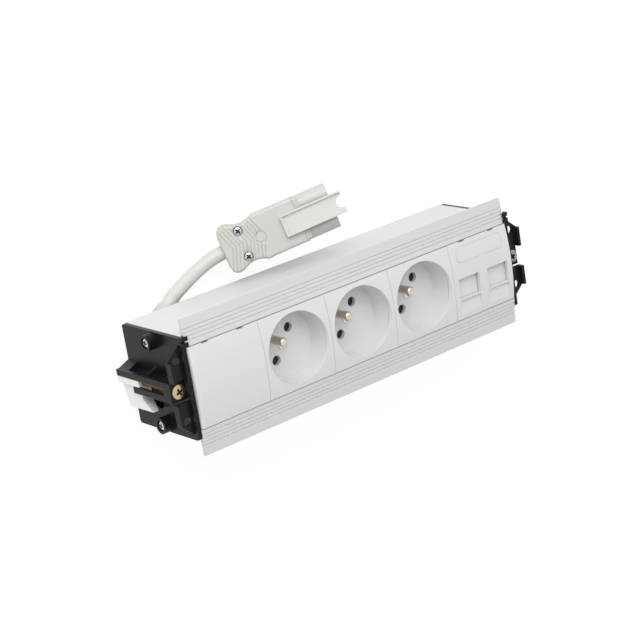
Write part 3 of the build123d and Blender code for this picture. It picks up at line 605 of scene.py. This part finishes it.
# Housing: one aluminium extrusion with two grooved flanges and side walls, powder-coated white.
# Every other piece is snapped into it or screwed to its ends.
powder_coat = plastic("powder_coat", (0.66, 0.66, 0.66), 0.42, grain=2200.0, edge=0.00004)
finish_node("housing_profile", powder_coat)

# Module fronts, socket bases, data shutters and rear cover: satin white mouldings. The fronts snap
# into the housing's lips, and the cover closes its back.
satin_white = plastic("satin_white", (0.71, 0.71, 0.71), 0.34, edge=0.0001)
for name in ("blank_module", "data_plate", "data_shutter_left", "data_shutter_right", "rear_cover"):
    finish_node(name, satin_white)
for number in (1, 2, 3):
    for stem in ("socket_front", "socket_base"):
        finish_node(f"{stem}_{number}", satin_white)

# Earth pins: turned from brass, bright and pale, with a round tip. Each is riveted into its
# socket's floor, and a wide collar holds it from behind.
socket_places = (-0.045, 0.0, 0.045)
pin_offset = 0.010
pin_direction = radians(145)
pin_radius = 0.00238
pin_seat = 0.0554
pin_top = 0.0695
tip_radius = 0.0018
tip_steps = 6
shaft_radius = 0.0018
shaft_foot = 0.0370
collar_top = 0.0525
collar_height = 0.0016
collar_radius = 0.00342
collar_ledge = 0.0016
pale_brass = metal("pale_brass", (0.74, 0.68, 0.54), 0.2, other=(0.62, 0.56, 0.42))
earth_pin = rod(
    "earth_pin", pin_radius, (0, 0, pin_seat), pin_top - pin_seat - tip_radius, sides=48
)
choose("FACE", looks_up)
flat_radius = pin_radius - tip_radius
tip_angles = [step * pi / 2 / tip_steps for step in range(tip_steps + 1)]
for before, after in zip(tip_angles, tip_angles[1:]):
    rise = tip_radius * (sin(after) - sin(before))
    share = (flat_radius + tip_radius * cos(after)) / (flat_radius + tip_radius * cos(before))
    bpy.ops.mesh.extrude_region_move(TRANSFORM_OT_translate={"value": (0, 0, rise)})
    bpy.ops.transform.resize(value=(share, share, 1))
choose("FACE", looks_down)
bpy.ops.mesh.inset(thickness=pin_radius - shaft_radius)
bpy.ops.mesh.extrude_region_move(TRANSFORM_OT_translate={"value": (0, 0, collar_top - pin_seat)})
bpy.ops.transform.resize(value=(collar_radius / shaft_radius, collar_radius / shaft_radius, 1))
bpy.ops.mesh.extrude_region_move(TRANSFORM_OT_translate={"value": (0, 0, -collar_height)})
bpy.ops.mesh.inset(thickness=collar_ledge)
bpy.ops.mesh.extrude_region_move(
    TRANSFORM_OT_translate={"value": (0, 0, shaft_foot - collar_top + collar_height)}
)
close(earth_pin, smooth=50)
for number, x in enumerate(socket_places, start=1):
    twin = copy_to(earth_pin, f"turned_pin_{number}", Matrix.Translation(
        (x + pin_offset * cos(pin_direction), pin_offset * sin(pin_direction), 0)
    ))
    twin.data.materials.append(pale_brass)
    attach(twin, "housing")
    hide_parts(f"earth_pin_{number}")
bpy.data.objects.remove(earth_pin)

# Socket screws: one bright-plated cross-head screw in the middle of each recess, which holds the
# socket's front to its base.
recess_floor = 0.055
socket_screw = cross_screw(
    "socket_screw", radius=0.0029, height=0.0010, cross=(0.0040, 0.0010, 0.0007),
    shank_radius=0.0014, shank_length=0.0180, dome=0.0004, turned=20,
)
close(socket_screw)
for number, x in enumerate(socket_places, start=1):
    twin = copy_to(socket_screw, f"recess_screw_{number}", Matrix.Translation((x, 0, recess_floor)))
    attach(twin, "housing")
    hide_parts(f"socket_screw_{number}")
bpy.data.objects.remove(socket_screw)

# Socket shutters and contacts: black mouldings that close the holes from behind, on a spigot under
# the socket's floor, over sprung forks pressed from brass strip.
shutter_black = plastic("shutter_black", (0.012, 0.012, 0.013), 0.45)
for number in (1, 2, 3):
    finish_node(f"socket_shutter_{number}", shutter_black)
    finish_node(f"contacts_{number}", strip_brass)

# End caps: glossy black mouldings, each with its clamp bracket in one piece. The edges are
# rounded a little, as a mould leaves them.
cap_black = plastic("cap_black", (0.011, 0.011, 0.013), 0.3, depth=0.00003, shine=0.15)


def moulded(node_name, name, edge, material):
    """A node's own form, merged into one skin, with its edges rounded."""
    piece = bpy.data.objects.new(name, nodes[node_name].data.copy())
    bpy.context.scene.collection.objects.link(piece)
    take_up(piece)
    bpy.ops.object.mode_set(mode="EDIT")
    bpy.ops.mesh.select_all(action="SELECT")
    bpy.ops.mesh.remove_doubles(threshold=same_place)
    bpy.ops.mesh.dissolve_limited(angle_limit=radians(0.5))
    close(piece, edge=edge)
    piece.data.materials.clear()
    piece.data.materials.append(material)
    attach(piece, node_name if node_name in frame["bodies"] else "housing")
    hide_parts(node_name)


for side in ("left", "right"):
    moulded(
        f"end_cap_{side}", f"cap_moulding_{side}", edge=0.0002, material=cap_black,
    )

# Screws of the end caps: bright-plated cross-head screws, nearly flush in the caps' bosses. They
# run into the screw ports of the extrusion.
cap_screw_seat = 0.1181
cap_screw_half = 0.023
cap_screw_height = 0.0406
cap_screw = cross_screw(
    "cap_screw", radius=0.0026, height=0.0019, cross=(0.0036, 0.0010, 0.0011),
    shank_radius=0.0014, shank_length=0.0160, dome=0.0005, turned=20,
)
close(cap_screw)
for side, sign in (("left", -1), ("right", 1)):
    for level, y in (("upper", cap_screw_half), ("lower", -cap_screw_half)):
        twin = copy_to(cap_screw, f"cap_screw_{side}_{level}", Matrix.Translation(
            (sign * cap_screw_seat, y, cap_screw_height)
        ) @ Matrix.Rotation(sign * pi / 2, 4, "Y"))
        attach(twin, "housing")
        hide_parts(f"end_cap_screws_{side}")
bpy.data.objects.remove(cap_screw)

# Clamp screws: long zinc-plated steel screws with a coarse rolled thread and a wide, flat,
# cross-slotted head that sits in the bracket's notch.
thread_pitch = 0.0018
thread_crest = 0.00195
thread_root = 0.00150
thread_turns = 27
thread_start = 0.0036
thread_rooted = 0.00005
core_start = 0.003
foot_edge = 0.0006
foot_dome = 0.0002
head_seat = 0.0624
screw_foot = 0.0080
clamp_reach = 0.1193
clamp_screw = cross_screw(
    "clamp_screw", radius=0.0039, height=0.0016, cross=(0.0052, 0.0014, 0.0011),
    shank_radius=0.0019, shank_length=0.0050, dome=0.0006, turned=65,
)
close(clamp_screw)
take_up()
bpy.ops.mesh.primitive_grid_add(x_subdivisions=1, y_subdivisions=2, size=thread_pitch)
thread = bpy.context.active_object
bpy.ops.object.mode_set(mode="EDIT")
choose("VERT", lambda corner: corner.x < 0)
bpy.ops.mesh.delete(type="VERT")
bpy.ops.mesh.select_all(action="SELECT")
bpy.ops.transform.rotate(value=-pi / 2, orient_axis="X", center_override=(0, 0, 0))
bpy.ops.transform.translate(value=(thread_root - thread_pitch / 2, 0, 0))
choose("VERT", lambda corner: abs(corner.z) < thread_pitch / 4)
bpy.ops.transform.translate(value=(thread_crest - thread_root, 0, 0))
bpy.ops.object.mode_set(mode="OBJECT")
winding = thread.modifiers.new("winding", "SCREW")
winding.axis = "Z"
winding.screw_offset = thread_pitch
winding.iterations = thread_turns
winding.steps = 24
winding.render_steps = 24
winding.use_merge_vertices = True
bpy.ops.object.modifier_apply(modifier=winding.name)
thread.data.transform(Matrix.Translation((0, 0, -thread_start - thread_turns * thread_pitch)))
core = rod(
    "core", thread_root + thread_rooted, (0, 0, screw_foot - head_seat),
    head_seat - screw_foot - core_start, sides=32,
)
choose("FACE", looks_down)
bpy.ops.mesh.inset(thickness=foot_edge)
bpy.ops.transform.translate(value=(0, 0, -foot_dome))
close(core)
# The left screw's thread and core are painted a dark brown: painted shade, as they sit deep in the
# slot between the rails.
thread_painted_shade = metal("thread_painted_shade", (0.34, 0.23, 0.12), 0.5, other=(0.24, 0.15, 0.09))
for piece in (thread, core):
    piece.data.materials.append(thread_painted_shade)
join(clamp_screw, [thread, core])
bpy.ops.object.shade_smooth_by_angle(angle=radians(35))
yellow_zinc = metal(
    "yellow_zinc", (0.64, 0.52, 0.28), 0.32, other=(0.56, 0.36, 0.27), patch=260.0
)
pale_zinc = metal("pale_zinc", (0.36, 0.36, 0.35), 0.36, other=(0.26, 0.26, 0.25), patch=260.0)
for side, sign, finish, thread_finish in (
    ("left", -1, yellow_zinc, thread_painted_shade), ("right", 1, pale_zinc, pale_zinc)
):
    twin = copy_to(clamp_screw, f"threaded_screw_{side}", Matrix.Translation(
        (sign * clamp_reach, 0, head_seat)
    ))
    twin.data.materials[0] = finish
    twin.data.materials[2] = thread_finish
    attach(twin, f"clamp_screw_{side}")
    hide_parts(f"clamp_screw_{side}")
bpy.data.objects.remove(clamp_screw)

# Clamp claws: white nylon blocks that the screws draw forward between the rails, until their
# teeth grip the desk top from below.
nylon = plastic("nylon_white", (0.88, 0.865, 0.835), 0.45)
for side in ("left", "right"):
    moulded(
        f"clamp_claw_{side}", f"nylon_claw_{side}", edge=0.0003, material=nylon
    )

# Rear cover's screws and strain relief: two zinc-plated steel screws, and the tapered sleeve that
# holds the cord in the cover's wall.
finish_node("rear_cover_screws", yellow_zinc)
finish_node("strain_relief", connector_cream)

# Internal wires: insulated copper cores in the three usual colours, which run from the cord's end
# through the back of the housing to every socket.
finish_node("live_wire", plastic("wire_brown", (0.12, 0.05, 0.02), 0.4))
finish_node("earth_wire", plastic("wire_green", (0.12, 0.35, 0.04), 0.4))
finish_node("neutral_wire", plastic("wire_blue", (0.02, 0.1, 0.4), 0.4))
